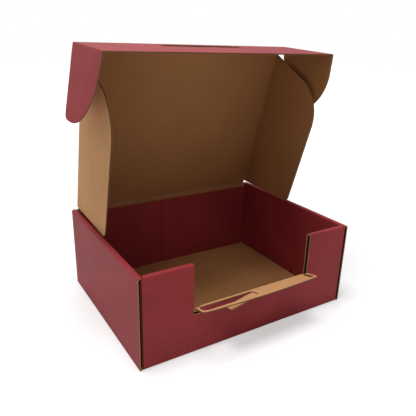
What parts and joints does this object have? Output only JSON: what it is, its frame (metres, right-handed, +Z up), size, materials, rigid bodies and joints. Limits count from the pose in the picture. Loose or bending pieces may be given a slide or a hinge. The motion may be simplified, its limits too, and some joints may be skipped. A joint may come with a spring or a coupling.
{
  "type": "suitcase box",
  "caption": "Folding corrugated carry box with rolled double walls, a hinged lid with tuck flap and ears, a cut-out front and a handle flap, shown open.",
  "frame": {"origin": "centre of the base's underside, on the surface the box stands on", "axes": "+X to the box's right, +Y from the front wall to the hinge, +Z up"},
  "size_m": [0.3221, 0.2487, 0.3311],
  "materials": {
    "burgundy_board": "matt printed liner on corrugated board",
    "kraft_board": "plain kraft liner on corrugated board"
  },
  "bodies": {
    "tray": {"tray": "burgundy_board"},
    "lid": {"lid_panel": "burgundy_board"},
    "lid_ear_left": {"lid_ear_left": "kraft_board"},
    "lid_ear_right": {"lid_ear_right": "kraft_board"},
    "tuck_flap": {"tuck_flap": "burgundy_board"},
    "tuck_ear_left": {"tuck_ear_left": "burgundy_board"},
    "tuck_ear_right": {"tuck_ear_right": "burgundy_board"},
    "handle_flap": {"handle_flap": "kraft_board"}
  },
  "joints": [
    {"name": "lid_hinge", "type": "hinge", "parent": "tray", "child": "lid", "pos_m": [0, 0.11125, 0.11305], "axis": [1, 0, 0], "range_deg": [-90, 66]},
    {"name": "lid_ear_left_crease", "type": "hinge", "parent": "lid", "child": "lid_ear_left", "pos_m": [-0.1412, 0.11053, 0.11283], "axis": [0, 0.289, -0.9573], "range_deg": [-80, 0]},
    {"name": "lid_ear_right_crease", "type": "hinge", "parent": "lid", "child": "lid_ear_right", "pos_m": [0.1412, 0.11053, 0.11283], "axis": [0, -0.289, 0.9573], "range_deg": [-80, 0]},
    {"name": "tuck_flap_crease", "type": "hinge", "parent": "lid", "child": "tuck_flap", "pos_m": [0, 0.04564, 0.33036], "axis": [1, 0, 0], "range_deg": [-77, 12.8]},
    {"name": "tuck_ear_left_crease", "type": "hinge", "parent": "tuck_flap", "child": "tuck_ear_left", "pos_m": [-0.1512, 0.04564, 0.33036], "axis": [0, -0.9976, -0.0698], "range_deg": [-75, 13]},
    {"name": "tuck_ear_right_crease", "type": "hinge", "parent": "tuck_flap", "child": "tuck_ear_right", "pos_m": [0.1512, 0.04564, 0.33036], "axis": [0, 0.9976, 0.0698], "range_deg": [-88, 0]},
    {"name": "handle_flap_crease", "type": "hinge", "parent": "tray", "child": "handle_flap", "pos_m": [0, -0.11125, 0.058], "axis": [-1, 0, 0], "range_deg": [-12, 160]}
  ]
}
